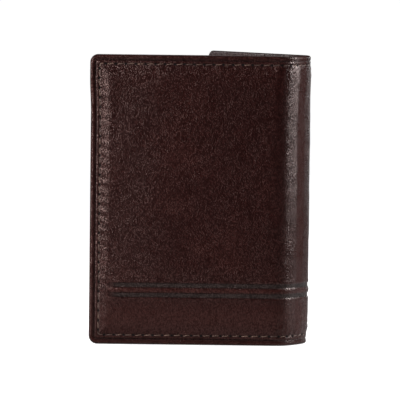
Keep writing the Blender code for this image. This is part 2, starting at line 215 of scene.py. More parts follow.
# The third leaf's leather starts at its tab on the back leaf and turns back on itself.
TAB_X, TAB_DEPTH = 60.3, 5.375
THIRD_FOLD_X = 66.8
THIRD_DEPTH = 8.45  # middle of its leather when folded in
THIRD_FACE = 8.85  # its outer face when folded in
THIRD_WIDTH = 59.0
third_fold_length = math.pi * (THIRD_DEPTH - TAB_DEPTH) / 2
tab_x, tab_y, _ = back_leaf_place(TAB_X, 0, TAB_DEPTH)
third_path = Path(
    (tab_x, tab_y), 2 * TURN,
    [(THIRD_FOLD_X - TAB_X, 0), (third_fold_length, math.pi), (THIRD_WIDTH, 0)], even,
)


def third_place(s, z, depth):
    x, y = third_path.at(s, -depth)
    return x, y, z


def third_leaf_place(x, z, depth):
    """The third leaf's own layout, with x from its fold line and depth from its outer face."""
    return back_leaf_place(THIRD_FOLD_X - x, z, THIRD_FACE - depth)


# The coin flap starts at its tab, comes out over the pocket's mouth and hangs down.
FLAP_LEFT = -64.0
FLAP_WIDTH = 54.0
FLAP_THICK = 0.7
FLAP_TAB = 4.3  # length of leather that lies on the leaf
FLAP_TURNED = 12.3  # length of leather up to where it hangs straight
FLAP_START = (4.6, 57.0)  # depth and height
flap_path = Path(
    FLAP_START, -math.pi / 2,
    [(FLAP_TAB, 0), (2.0, math.pi / 2), (1.9, 0), (3.9, -math.pi / 2), (19.2, 0)],
)


def flap_place(s, v, depth):
    """v runs from the flap's left side, and depth is measured from its outer face inwards."""
    y, z = flap_path.at(s, depth)
    return SPINE_FRONT[0] + FLAP_LEFT + v, FRONT_FACE + y, z


# --- meshes ---


def add_to_scene(name, data):
    obj = bpy.data.objects.new(name, data)
    bpy.context.scene.collection.objects.link(obj)
    return obj


def make_object(name, points, faces, look, attributes=None):
    mesh = bpy.data.meshes.new(name)
    mesh.from_pydata((np.asarray(points) * MM).tolist(), [], faces)
    mesh.validate()
    for key, values in (attributes or {}).items():
        values = np.asarray(values, np.float32)
        kind = "FLOAT_VECTOR" if values.ndim == 2 else "FLOAT"
        layer = mesh.attributes.new(key, kind, "POINT")
        layer.data.foreach_set("vector" if values.ndim == 2 else "value", values.ravel())
    mesh.shade_smooth()
    mesh.materials.append(look)
    return add_to_scene(name, mesh)


def corner_parts(s, v, width, height, radii):
    """For each rounded corner, where it is and how far the points lie past the centre of its arc."""
    for (at_right, at_top), radius in zip(((0, 0), (1, 0), (1, 1), (0, 1)), radii):
        if radius > 0:
            a = s - (width - radius) if at_right else radius - s
            b = v - (height - radius) if at_top else radius - v
            yield at_right, at_top, radius, a, b


def round_corners(s, v, width, height, radii):
    """Moves the points of a rectangle's grid so that its corners become quarter circles."""
    s, v = s.copy(), v.copy()
    for at_right, at_top, radius, a, b in corner_parts(s, v, width, height, radii):
        inside = (a > 0) & (b > 0)
        a, b = a[inside], b[inside]
        shrink = np.maximum(a, b) / np.hypot(a, b)
        s[inside] = width - radius + a * shrink if at_right else radius - a * shrink
        v[inside] = height - radius + b * shrink if at_top else radius - b * shrink
    return s, v


def edge_distance(s, v, width, height, radii, open_left=False, open_right=False):
    """Distance from the free outline, counting no open side."""
    left = np.full_like(s, 1e3) if open_left else s
    right = np.full_like(s, 1e3) if open_right else width - s
    d = np.minimum(np.minimum(left, right), np.minimum(v, height - v))
    for _, _, radius, a, b in corner_parts(s, v, width, height, radii):
        d = np.where((a > 0) & (b > 0), radius - np.hypot(a, b), d)
    return np.maximum(d, 0)


def edge_round(d, rim):
    """Share of the full thickness at a distance d from a rounded edge."""
    return np.sqrt(1 - (1 - np.clip(d / rim, 0, 1)) ** 2)


def quads(grid, closed=False):
    """Faces of a grid of point numbers, which may close on itself in its second direction."""
    if closed:
        grid = np.concatenate((grid, grid[:, :1]), axis=1)
    return np.stack((grid[:-1, :-1], grid[1:, :-1], grid[1:, 1:], grid[:-1, 1:]), -1).reshape(-1, 4)


def shell(name, s_lines, v_lines, radii, place, sides, look, rim=0.5, s_from=0.0, v_from=0.0,
          open_left=False, open_right=False, marks=None):
    """A sheet of real thickness with rounded edges.

    s_lines and v_lines start at 0. sides(s, v, d) gives the depth of the outer and of the inner side.
    An open side is where the sheet goes on in another piece, so it is cut square.
    """
    width, height = s_lines[-1], v_lines[-1]
    s, v = np.meshgrid(s_lines, v_lines, indexing="ij")
    s, v = round_corners(s, v, width, height, radii)
    d = edge_distance(s, v, width, height, radii, open_left, open_right)
    outer, inner = sides(s + s_from, v + v_from, d)
    share = edge_round(d, rim)
    middle = (outer + inner) / 2
    outer, inner = middle + (outer - middle) * share, middle + (inner - middle) * share
    columns, rows = s.shape
    index = np.arange(columns * rows).reshape(columns, rows)
    border = np.zeros((columns, rows), bool)
    border[:, 0] = border[:, -1] = True
    border[0, :] |= not open_left
    border[-1, :] |= not open_right
    index_in = index.copy()
    index_in[~border] = columns * rows + np.arange((~border).sum())
    points = points_of(place, s + s_from, v + v_from, outer).reshape(-1, 3)
    within = points_of(place, s + s_from, v + v_from, inner)[~border]
    points = np.concatenate((points, within))
    faces = np.concatenate((quads(index), quads(index_in)[:, ::-1]))
    for is_open, column in ((open_left, 0), (open_right, -1)):
        if is_open:
            a, b = index[column], index_in[column]
            cap = np.stack((a[:-1], a[1:], b[1:], b[:-1]), -1)
            faces = np.concatenate((faces, cap[:, ::-1] if column else cap))
    flat = np.stack(((s + s_from) / 100, (v + v_from) / 100, np.zeros_like(s)), -1)
    under = flat[~border] + np.array([0, 0, 1])
    attributes = {"sheet": np.concatenate((flat.reshape(-1, 3), under))}
    for key, function in (marks or {}).items():
        values = function(s + s_from, v + v_from, d)
        attributes[key] = np.concatenate((values.ravel(), np.zeros((~border).sum())))
    obj = make_object(name, points, clean(faces), look, attributes)
    face_outwards(obj)
    if open_left or open_right:
        sharpen(obj)
    return obj


def clean(faces):
    """Faces without repeated corners, as at a corner where the two sides share their points."""
    made = []
    for face in faces.tolist():
        kept = [p for i, p in enumerate(face) if p != face[i - 1]]
        if len(set(kept)) == len(kept) and len(kept) > 2:
            made.append(kept)
    return made


def face_outwards(obj):
    """Turns the faces round if the closed shell is inside out."""
    mesh = obj.data
    mesh.calc_loop_triangles()
    co = np.zeros(len(mesh.vertices) * 3)
    mesh.vertices.foreach_get("co", co)
    co = co.reshape(-1, 3)
    corners = np.zeros(len(mesh.loop_triangles) * 3, np.int32)
    mesh.loop_triangles.foreach_get("vertices", corners)
    a, b, c = (co[corners.reshape(-1, 3)[:, i]] for i in range(3))
    if np.einsum("ij,ij->i", a, np.cross(b, c)).sum() < 0:
        mesh.flip_normals()


def sharpen(obj, angle=60):
    obj.data.set_sharp_from_angle(angle=math.radians(angle))


def stitch_row(points, pitch, surface, radius, lift, length, slant=0.10, sunk=0.25):
    """Tubes for the stitches along a line of (s, v) points, and the points where they dip in."""
    points = np.asarray(points, float)
    runs = np.hypot(*np.diff(points, axis=0).T)
    total = runs.sum()
    along = np.concatenate(([0], np.cumsum(runs)))
    count = max(1, round(total / pitch))
    pitch = total / count
    tubes = []
    for number in range(count):
        t = (number + 0.5 + np.linspace(-0.5, 0.5, 7) * length) * pitch
        s, v = np.interp(t, along, points[:, 0]), np.interp(t, along, points[:, 1])
        ds, dv = s[-1] - s[0], v[-1] - v[0]
        lean = np.linspace(-0.5, 0.5, 7) * slant * pitch / max(math.hypot(ds, dv), 1e-6)
        s, v = s - lean * dv, v + lean * ds
        arch = np.sqrt(np.clip(1 - np.linspace(-1, 1, 7) ** 4, 0, 1))
        base = points_of(surface, s, v, 0.0)
        out = points_of(surface, s, v, -1.0) - base
        line = base + out * ((lift + sunk) * arch - sunk)[:, None]
        tubes.append((line, out, radius * (0.75 + 0.25 * arch)))
    between = np.arange(1, count) * pitch
    holes = zip(np.interp(between, along, points[:, 0]), np.interp(between, along, points[:, 1]))
    return tubes, list(holes)


def tube_faces(start, rings, sides):
    """Faces between rings of points that follow each other from a starting number."""
    faces = []
    for first in range(start, start + (rings - 1) * sides, sides):
        for k in range(sides):
            a, b = first + k, first + (k + 1) % sides
            faces.append((a, b, b + sides, a + sides))
    return faces


def thread_object(name, tubes, look, sides=6):
    points, faces = [], []
    for line, out, radius in tubes:
        start = len(points)
        along = np.gradient(line, axis=0)
        across = np.cross(along, out)
        across /= np.linalg.norm(across, axis=1, keepdims=True)
        for i in range(len(line)):
            for k in range(sides):
                angle = 2 * math.pi * k / sides
                points.append(line[i] + radius[i] * (math.cos(angle) * across[i] + math.sin(angle) * out[i]))
        faces += tube_faces(start, len(line), sides)
        last = start + (len(line) - 1) * sides
        faces += [tuple(range(start, start + sides))[::-1], tuple(range(last, last + sides))]
    obj = make_object(name, points, faces, look)
    face_outwards(obj)
    return obj


def hole_shade_discs(name, holes, surface, look, radius, sides=10, lift=0.02):
    """Near-black discs where the thread enters the leather: painted shade that stands in for the needle
    holes.
    """
    points, faces = [], []
    for s, v in holes:
        angles = np.linspace(0, 2 * math.pi, sides, endpoint=False)
        start = len(points)
        ring = points_of(surface, s + radius * np.cos(angles), v + radius * np.sin(angles), -lift)
        centre = points_of(surface, np.array([s]), np.array([v]), -lift - 0.05)[0]
        points += list(ring) + [centre]
        for k in range(sides):
            faces.append((start + k, start + (k + 1) % sides, start + sides))
    return make_object(name, points, faces, look)


def turned(name, profile, centre, axis, look, turns=64, sharp=40):
    """A round part from a profile of (radius, height), made about centre along axis."""
    axis = Vector(axis).normalized()
    side = axis.orthogonal().normalized()
    other = axis.cross(side)
    points = []
    for radius, height in profile:
        for k in range(turns):
            a = 2 * math.pi * k / turns
            p = Vector(centre) + axis * height + (side * math.cos(a) + other * math.sin(a)) * radius
            points.append(tuple(p))
    obj = make_object(name, points, tube_faces(0, len(profile), turns), look)
    face_outwards(obj)
    sharpen(obj, sharp)
    return obj


# --- materials ---


class Nodes:
    """A material's node tree, with short calls for its usual nodes."""

    def __init__(self, name):
        self.material = bpy.data.materials.new(name)
        self.material.use_nodes = True
        self.tree = self.material.node_tree
        self.shader = self.tree.nodes["Principled BSDF"]

    def add(self, kind, settings=(), **inputs):
        node = self.tree.nodes.new(kind)
        for key, value in dict(settings).items():
            setattr(node, key, value)
        for key, value in inputs.items():
            self.put(node, key.replace("_", " "), value)
        return node

    def put(self, node, key, value):
        socket = node.inputs[int(key[1:])] if key[0] == "i" and key[1:].isdigit() else node.inputs[key]
        if isinstance(value, bpy.types.NodeSocket):
            self.tree.links.new(value, socket)
        else:
            socket.default_value = value

    def coordinates(self, scale):
        where = self.add("ShaderNodeAttribute", {"attribute_name": "sheet"})
        return self.add("ShaderNodeMapping", Vector=where.outputs["Vector"], Scale=scale).outputs["Vector"]

    def position(self):
        return self.add("ShaderNodeTexCoord").outputs["Object"]

    def noise(self, vector, scale, detail=3.0, roughness=0.5, distortion=0.0):
        settings = {"Detail": detail, "Roughness": roughness, "Distortion": distortion}
        return self.add("ShaderNodeTexNoise", Vector=vector, Scale=scale, **settings).outputs["Fac"]

    def waves(self, vector, direction, scale, distortion):
        settings = {"bands_direction": direction}
        node = self.add("ShaderNodeTexWave", settings, Vector=vector, Scale=scale, Distortion=distortion)
        return node.outputs["Fac"]

    def ramp(self, value, low, high, to_low=0.0, to_high=1.0):
        settings = {"interpolation_type": "SMOOTHSTEP"}
        limits = {"From_Min": low, "From_Max": high, "To_Min": to_low, "To_Max": to_high}
        return self.add("ShaderNodeMapRange", settings, Value=value, **limits).outputs["Result"]

    def math(self, operation, a, b):
        return self.add("ShaderNodeMath", {"operation": operation}, i0=a, i1=b).outputs[0]

    def mix(self, share, a, b):
        return self.add("ShaderNodeMix", {"data_type": "RGBA"}, i0=share, i6=a, i7=b).outputs[2]

    def bump(self, height, distance, strength=1.0, normal=None):
        node = self.add("ShaderNodeBump", Height=height, Distance=distance, Strength=strength)
        if normal is not None:
            self.tree.links.new(normal, node.inputs["Normal"])
        return node.outputs["Normal"]

    def mark(self, name):
        return self.add("ShaderNodeAttribute", {"attribute_name": name}).outputs["Fac"]

    def set(self, **values):
        for key, value in values.items():
            self.put(self.shader, key.replace("_", " "), value)


# colour of the painted shade in the crease, the seam and the pressed lines
PAINTED_SHADE_COLOUR = (0.019, 0.0138, 0.0132, 1)
SPECK_COLOUR = (0.16, 0.10, 0.085, 1)
LEATHER_SHEEN = (1.0, 0.71, 0.65, 1)  # tint of its highlights


def leather(name, deep, warm, gloss=0.22, grain=1.0):
    """Smooth polished leather: fine pebbles, faint upright creases, and a dye that varies slowly.

    Marks on the mesh say where it turns to the warm colour, for wear and, round the spine, as painted light;
    where painted shade darkens it along pressed lines, creases and seams; where it is taut so that the grain
    is pulled smooth; and where it is matt.
    """
    n = Nodes(name)
    plain = n.coordinates((1, 1, 1))
    upright = n.coordinates((1.0, 0.55, 1.0))
    pebble = n.add("ShaderNodeTexVoronoi", Vector=upright, Scale=270.0).outputs["Distance"]
    taut = n.mark("taut")
    relief = n.math("SUBTRACT", 1.0, n.math("MULTIPLY", taut, 0.7))
    tone = n.math("ADD", n.math("MULTIPLY", pebble, relief), n.math("MULTIPLY", taut, 0.30))
    fine = n.noise(plain, 420.0, 2.0)
    creases = n.noise(n.coordinates((1.0, 0.34, 1.0)), 110.0, 4.0, 0.6, 0.8)
    crease = n.ramp(creases, 0.45, 0.60)
    cloud = n.noise(plain, 4.5, 4.0, 0.55)
    blotch = n.noise(plain, 19.0, 3.0, 0.6)
    warmth = n.math("MULTIPLY", n.ramp(cloud, 0.42, 0.68), n.ramp(blotch, 0.3, 0.72, 0.2, 0.55))
    # warm colour from random tone and the worn mark; on the cover's spine that mark is painted light
    worn = n.math("MAXIMUM", warmth, n.mark("worn"))
    colour = n.mix(worn, (*deep, 1), (*warm, 1))
    valley = n.ramp(tone, 0.15, 0.62, 1.32, 0.50)
    # the dark mark paints shade into pressed lines, creases and seams
    colour = n.mix(n.mark("dark"), colour, PAINTED_SHADE_COLOUR)
    colour = n.add("ShaderNodeVectorMath", {"operation": "SCALE"}, i0=colour, Scale=valley).outputs["Vector"]
    specks = n.ramp(n.noise(plain, 240.0, 1.0), 0.74, 0.80, 0.0, 0.25)
    colour = n.mix(specks, colour, SPECK_COLOUR)
    rough = n.ramp(blotch, 0.25, 0.75, gloss - 0.05, gloss + 0.07)
    rough = n.math("ADD", rough, n.ramp(pebble, 0.0, 0.6, 0.0, 0.08))
    shine = n.ramp(tone, 0.15, 0.62, 0.46, 0.12)
    shine = n.math("MULTIPLY", shine, n.ramp(n.mark("matt"), 0.0, 1.0, 1.0, 0.42))
    normal = n.bump(pebble, 0.000095 * grain, relief)
    normal = n.bump(crease, 0.000012 * grain, 1.0, normal)
    normal = n.bump(fine, 0.000015 * grain, 1.0, normal)
    n.set(Base_Color=colour, Roughness=rough, Normal=normal)
    n.set(Specular_IOR_Level=shine, Specular_Tint=LEATHER_SHEEN)
    return n.material


def cloth(name, dark, light):
    """A close twill lining."""
    n = Nodes(name)
    plain = n.coordinates((1, 1, 1))
    weave = n.waves(plain, "DIAGONAL", 95.0, 0.4)
    yarn = n.waves(plain, "X", 150.0, 0.8)
    height = n.math("MULTIPLY", weave, n.math("ADD", yarn, 0.4))
    fuzz = n.noise(plain, 60.0, 4.0)
    colour = n.mix(n.math("MULTIPLY", height, n.ramp(fuzz, 0.3, 0.7, 0.6, 1.0)), (*dark, 1), (*light, 1))
    n.set(Base_Color=colour, Roughness=0.85, Normal=n.bump(height, 0.00009))
    n.set(Sheen_Weight=0.06, Sheen_Roughness=0.5, Specular_IOR_Level=0.25)
    return n.material


def sewing_thread(name, dark, light):
    n = Nodes(name)
    where = n.position()
    twist = n.noise(where, 2600.0, 2.0)
    patch = n.noise(where, 160.0, 2.0)
    colour = n.mix(n.ramp(patch, 0.35, 0.65), (*dark, 1), (*light, 1))
    n.set(Base_Color=colour, Roughness=0.6, Normal=n.bump(twist, 0.00004))
    return n.material


def aged_metal(name, base, tarnish):
    n = Nodes(name)
    where = n.position()
    patches = n.noise(where, 420.0, 5.0, 0.65)
    scratches = n.noise(n.add("ShaderNodeMapping", Vector=where).outputs["Vector"], 2400.0, 3.0, 0.6, 1.2)
    colour = n.mix(n.ramp(patches, 0.38, 0.66), (*base, 1), (*tarnish, 1))
    rough = n.ramp(patches, 0.3, 0.7, 0.22, 0.42)
    n.set(Base_Color=colour, Metallic=1.0, Roughness=rough, Normal=n.bump(scratches, 0.00001))
    return n.material


def board(name):
    n = Nodes(name)
    where = n.position()
    fibres = n.noise(where, 900.0, 4.0, 0.7)
    colour = n.mix(fibres, (0.20, 0.15, 0.10, 1), (0.34, 0.27, 0.19, 1))
    n.set(Base_Color=colour, Roughness=0.9, Normal=n.bump(fibres, 0.00003))
    return n.material


def clear_film(name):
    n = Nodes(name)
    smears = n.noise(n.coordinates((1, 1, 1)), 22.0, 4.0)
    n.set(Base_Color=(0.9, 0.92, 0.93, 1), Roughness=n.ramp(smears, 0.3, 0.7, 0.06, 0.16))
    n.set(Alpha=0.12, IOR=1.45, Specular_IOR_Level=0.6)
    return n.material


# near-black finish for the needle-hole discs, which are painted shade
def painted_hole_shade(name):
    n = Nodes(name)
    n.set(Base_Color=(0.002, 0.0015, 0.0014, 1), Roughness=0.9, Specular_IOR_Level=0.1)
    return n.material


LEATHER = leather("outer_leather", (0.0170, 0.0045, 0.0041), (0.0300, 0.0077, 0.0064))
INNER_LEATHER = leather("inner_leather", (0.036, 0.0115, 0.0095), (0.056, 0.016, 0.012), 0.32, 0.8)
LINING = cloth("lining_cloth", (0.008, 0.007, 0.0066), (0.036, 0.031, 0.029))
THREAD = sewing_thread("sewing_thread", (0.042, 0.022, 0.015), (0.115, 0.066, 0.045))
HOLE_SHADE = painted_hole_shade("painted_hole_shade")
BRASS = aged_metal("antique_brass", (0.32, 0.22, 0.11), (0.10, 0.07, 0.04))
BOARD = board("stiffener_board")
FILM = clear_film("clear_film")


# --- outer leather ---

COVER_THICK, HEM_THICK = 1.12, 1.72  # the hem is where the edge is turned in
PADDING = 0.72  # how far a leaf's middle stands above its edge
GROOVE_DEPTH = 0.50
RIDGE = straight + 9.6  # the soft ridge along the spine, seen from the front
COVER_RIM = 0.85


def from_side(s):
    """Distance along the sheet from the nearer free side edge."""
    return np.minimum(s, cover_path.length - s)


def from_end(z):
    return np.minimum(z, HEIGHT - z)


def leaf_share(side):
    """1 on a leaf, fading to 0 round the spine."""
    return 1 - smooth(side, straight - 2, straight + 9)


def groove_mask(z, side):
    """1 in the two pressed lines, which fade in beside the seam."""
    mask = 0
    for centre in GROOVES:
        mask = mask + smooth(z, centre - 1.0, centre - 0.6) * (1 - smooth(z, centre + 0.6, centre + 1.0))
    return mask * smooth(side, 6.0, 11.0)


def border_relief(z, d, leaf):
    """A leaf's padded middle, its rolled edge, the crease next to it and the seam's channel."""

    def either(on_leaf, on_spine):
        return on_leaf * leaf + on_spine * (1 - leaf)

    shoulder = 0.55 + 0.45 * smooth(z, 28, 60)
    start = SEAM - 0.2 + 0.5 * smooth(z, 20, 85)
    rising = shoulder * smooth(d, start, start + 3.7) + (1 - shoulder) * smooth(d, SEAM, SEAM + 9)
    height = leaf * (PADDING * rising + 0.12 * smooth(d, 9, 26))
    height += either(0.20, 0.04) * bump(d, 0.9, 0.5)
    height -= either(0.30, 0.04) * bump(d, CREASE, 0.22)
    height += leaf * 0.17 * smooth(d, CREASE + 0.1, CREASE + 0.5)
    height += leaf * 0.12 * smooth(d, CREASE + 0.3, CREASE + 2.2)
    return height - either(0.12, 0.10) * bump(d, SEAM, 0.35)


def stitch_pull(s, z):
    """The seam draws the leather in at every stitch, most of all at half height."""
    side, end = from_side(s), from_end(z)
    per_stitch = 2 * math.pi / STITCH
    beside = bump(side, SEAM + 1.6, 1.5) * smooth(end, 5, 9)
    strength = 0.45 + 0.55 * smooth(z, 32, 44) * (1 - smooth(z, 70, 80))
    height = 0.13 * np.cos((z + 0.55 * (side - SEAM)) * per_stitch) * beside * strength
    above = bump(end, SEAM + 1.3, 1.2) * smooth(side, 5, 9)
    return height + 0.035 * np.cos((s - 0.3 * (end - SEAM)) * per_stitch) * above


def spine_relief(s, z):
    """Round the spine the leather is fuller, with a soft ridge, and the seam pinches it."""
    end = from_end(z)
    upper = z > HEIGHT / 2
    height = 0.30 + 0.45 * upper * (1 - smooth(end, 1, 24))
    ridge = RIDGE + 1.6 * smooth(z, 82, 102) - 0.5 * (1 - smooth(z, 35, 55))
    height += 0.30 * bump(s, ridge, 2.7) * smooth(z, 15, 32) * smooth(end, SEAM - 0.5, SEAM + 1.5)
    height -= np.where(upper, 0.10, 0.20) * bump(end, SEAM + 0.2, 1.9)
    return height - 0.30 * ~upper * (1 - smooth(end, 1, 6))


def fold_wrinkles(s, z):
    """Small wrinkles below and above the seam, where the leather turns into the spine."""
    down = HEIGHT - z
    at_folds = bump(s, FIRST_BEND - 1.0, 3.2) + bump(s, SECOND_BEND + 1.0, 3.2)
    wrinkles = np.sin(1.9 * (s - FIRST_BEND) + 1.3 * down) * np.sin(1.1 * down - 0.9 * s)
    return 0.20 * at_folds * wrinkles * bump(from_end(z), 6.2, 2.2)


def groove_relief(z, side, leaf):
    """The pressed lines, with the leather beside and between them standing up."""
    raised = bump(z, sum(GROOVES) / 2, 0.7)
    raised += 0.5 * bump(z, GROOVES[0] - 1.5, 0.6) + 0.5 * bump(z, GROOVES[1] + 1.5, 0.6)
    pressed = (GROOVE_DEPTH * leaf + 0.12 * (1 - leaf)) * groove_mask(z, side)
    return 0.10 * raised * smooth(side, 5.0, 9.5) - pressed


def cover_relief(s, z, d):
    """How far the outer leather stands out of its nominal face."""
    side = from_side(s)
    leaf = leaf_share(side)
    uneven = 0.10 * waves(s, z, 31.0) * smooth(d, 5, 12) + 0.035 * waves(z, s, 8.0) * smooth(d, 3.5, 6)
    height = border_relief(z, d, leaf) + uneven + stitch_pull(s, z) + (1 - leaf) * spine_relief(s, z)
    return height + fold_wrinkles(s, z) + groove_relief(z, side, leaf)


def cover_sides(s, z, d):
    return -cover_relief(s, z, d), HEM_THICK - (HEM_THICK - COVER_THICK) * smooth(d, 2.6, 3.9)


def spine_matt_and_painted_light(s, z):
    """Where the leather round the spine is less polished, and where the worn mark paints it warmer and
    lighter: on the flank this is painted light for the light that falls there from the right, and the lower
    spine gets a little of the same.
    """
    side = from_side(s)
    flank = smooth(side, RIDGE, RIDGE + 1.6)
    low = smooth(side, straight + 2, straight + 8) * (1 - smooth(z, 34, 62))
    return np.maximum(flank, 0.6 * low)


def cover_matt(s, z, d):
    side = from_side(s)
    flat = 0.6 * smooth(side, 14, 32) * smooth(z, 22, 30) * (1 - smooth(side, straight - 4, straight + 4))
    return np.maximum(spine_matt_and_painted_light(s, z), flat)


def cover_wear_and_painted_light(s, z, d):
    # warm colour: wear on the raised strip between the pressed lines and along the edges, a lighter band
    # below the pressed lines, and on the spine painted light that makes the flank lighter and warmer
    between = bump(z, sum(GROOVES) / 2, 0.75) * smooth(from_side(s), 5, 9)
    rim = 0.5 * bump(d, 0.6, 0.5) + 0.35 * bump(d, CREASE + 0.8, 0.4)
    below = 0.45 * bump(z, 10.0, 5.0) * smooth(d, 3, 5)
    return np.clip(0.85 * between + rim + below + 0.8 * spine_matt_and_painted_light(s, z), 0, 1)


# Painted shade: darkens the cover along its crease, in the seam's channel and in the two pressed lines.
def cover_painted_shade(s, z, d):
    crease = 0.60 * bump(d, CREASE, 0.24)
    seam = 0.30 * bump(d, SEAM, 0.5)
    return np.clip(0.95 * groove_mask(z, from_side(s)) + crease + seam, 0, 1)


def cover_taut(s, z, d):
    on_spine = smooth(from_side(s), straight + 5, straight + 11)
    return np.maximum(on_spine, 0.85 * (1 - smooth(z, 12, 26)))


def cover_surface(s, z, depth):
    """Points on the outer leather's face, with depth below it."""
    d = np.minimum(from_side(s), from_end(z))
    return cover_place(s, z, depth - cover_relief(s, z, d))


def half_shell(label, name, lines, rows, radius, sides, look, rim, start=0.0, **more):
    """Half of a sheet that runs round the spine, cut square in the spine's middle."""
    if label == "front":
        radii, ends = (radius, 0, 0, radius), {"s_from": start, "open_right": True}
    else:
        lines = (lines[-1] - lines)[::-1]
        radii, ends = (0, radius, radius, 0), {"s_from": MIDDLE, "open_left": True}
    return shell(f"{label}_{name}", lines, rows, radii, cover_place, sides, look, rim=rim, **ends, **more)


def over_bend(obj, label):
    """Bakes the piece's placement into its mesh, the same for either label."""
    if label == "front":
        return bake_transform(obj)
    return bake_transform(obj)


Z_LINES = steps(
    (0, 0.5, 0.1), (0.5, 6, 0.25), (6, 15, 0.7), (15, 24, 0.2), (24, 99, 0.6),
    (99, 104.5, 0.25), (104.5, HEIGHT, 0.1),
)
S_LINES = steps((0, 0.5, 0.1), (0.5, 7, 0.25), (7, straight - 1, 0.7), (straight - 1, MIDDLE, 0.33))
cover_marks = {"worn": cover_wear_and_painted_light, "dark": cover_painted_shade, "taut": cover_taut, "matt": cover_matt}
covers = {
    label: half_shell(
        label, "cover_skin", S_LINES, Z_LINES, CORNER, cover_sides, LEATHER, COVER_RIM, marks=cover_marks,
    )
    for label in ("front", "back")
}
SEAM_TURN = 0.7  # the seam's corners are cut by this much
front_line = [
    (MIDDLE, SEAM), (SEAM + SEAM_TURN, SEAM), (SEAM, SEAM + SEAM_TURN),
    (SEAM, HEIGHT - SEAM - SEAM_TURN), (SEAM + SEAM_TURN, HEIGHT - SEAM), (MIDDLE, HEIGHT - SEAM),
]
back_line = [(cover_path.length - s, z) for s, z in front_line]
seams = {}
for label, line in (("front", front_line), ("back", back_line)):
    tubes, holes = stitch_row(line, STITCH, cover_surface, radius=0.14, lift=0.0, length=0.78)
    seams[label] = thread_object(label + "_cover_stitches", tubes, THREAD)
    over_bend(seams[label], label)
    # the needle holes are near-black discs, painted shade
    over_bend(hole_shade_discs(label + "_cover_needle_holes", holes, cover_surface, HOLE_SHADE, radius=0.42), label)
for label, cover in covers.items():
    over_bend(cover, label)
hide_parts("front_cover_leather", "spine_leather")
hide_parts("back_cover_leather")
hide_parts("front_seam_thread", "spine_seam_thread_low", "spine_seam_thread_high")
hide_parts("back_seam_thread")


# --- inside of the wallet ---

PRESSED = 0.13  # depth of a pressed line on the inner leather
INNER_STITCH = 3.2  # pitch of the seams inside
# depths of the layers on both leaves, from the outer face inwards
PANEL = (2.5, 3.05)
SLIP = (3.2, 3.7)
FRONT_SLOT = (3.85, 4.25)


def settle(obj, body, slot, *nodes):
    """Fixes a piece to one body and hides the CAD nodes that it stands for; its slot is not used."""
    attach(obj, body)
    if nodes:
        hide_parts(*nodes)
    return obj


def inner_panel(name, node, body, box, depths, creased=("top",), radii=(2, 2, 2, 2), bow=0.0, inset=1.15):
    """A leather panel on a leaf, with its seen side inwards and a pressed line along some edges.

    The box is (left, right, bottom, top) in the leaf's own layout.
    """
    x0, x1, z0, z1 = box

    def pressed(s, v):
        offsets = {"left": s - x0, "right": x1 - s, "bottom": v - z0, "top": z1 - v}
        return sum((bump(offsets[side], inset, 0.22) for side in creased), np.zeros_like(s))

    def sides(s, v, d):
        face = depths[1] + bow * smooth(d, 0.5, 12) - PRESSED * pressed(s, v)
        return np.full_like(s, depths[0]), face

    marks = {
        # painted shade darkens the pressed lines
        "dark": lambda s, v, d: np.clip(0.75 * pressed(s, v), 0, 1),
        "worn": lambda s, v, d: 0.6 * bump(d, 0.15, 0.35),
    }
    obj = shell(
        name, panel_lines(x1 - x0), panel_lines(z1 - z0), radii, PLACES[body], sides, INNER_LEATHER,
        rim=min(0.3, (depths[1] - depths[0]) * 0.6), s_from=x0, v_from=z0, marks=marks,
    )
    return settle(obj, body, "leather", node)


def sew(name, body, lines, place=None, *nodes):
    """Stitches along lines of (x, z) points, each given with the depth of the face that it lies on."""
    place = place or PLACES[body]
    tubes = []
    for face, points in lines:
        def surface(s, v, depth, face=face):
            return place(s, v, face - depth)

        tubes += stitch_row(points, INNER_STITCH, surface, radius=0.15, lift=0.02, length=0.7)[0]
    return settle(thread_object(name, tubes, THREAD), body, "thread", *nodes)


def leaf_warp(x, z):
    """The small unevenness that all the layers of a leaf share."""
    return 0.16 * waves(x, z, 47.0) * smooth(abs(x), 3, 14) * smooth(LEAF - abs(x), 3, 12)


def front_inside(x, z, depth):
    return front_leaf_place(x, z, depth + leaf_warp(x, z))


def back_inside(x, z, depth):
    return back_leaf_place(x, z, depth + leaf_warp(x, z))


PLACES = {"front_leaf": front_inside, "back_leaf": back_inside, "third_leaf": third_leaf_place}

LINING_FROM, LINING_LOW, LINING_HIGH = 1.5, 1.5, 103.2
LINING_THICK = 0.2
LINING_CORNER = 2


def lining_sides(s, z, d):
    depth = 1.8 - 0.5 * smooth(from_side(s), straight - 2, straight + 5)
    depth = depth + 0.05 * waves(s, z, 23.0) * smooth(d, 1, 8)
    return depth, depth + LINING_THICK


# linings, from 1.5 mm inside the cover's edge to the middle of the spine
lining_lines = steps((0, 0.4, 0.2), (0.4, straight - 4, 1.3), (straight - 4, MIDDLE - LINING_FROM, 0.45))
lining_rows = thin_lines(LINING_HIGH - LINING_LOW, 1.4, 0.4, 0.2)
linings = {
    label: half_shell(
        label, "lining_cloth", lining_lines, lining_rows, LINING_CORNER, lining_sides, LINING, 0.1,
        start=LINING_FROM, v_from=LINING_LOW,
    )
    for label in ("front", "back")
}
for label, lining in linings.items():
    over_bend(lining, label)
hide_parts("front_lining", "spine_lining")
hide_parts("back_lining")

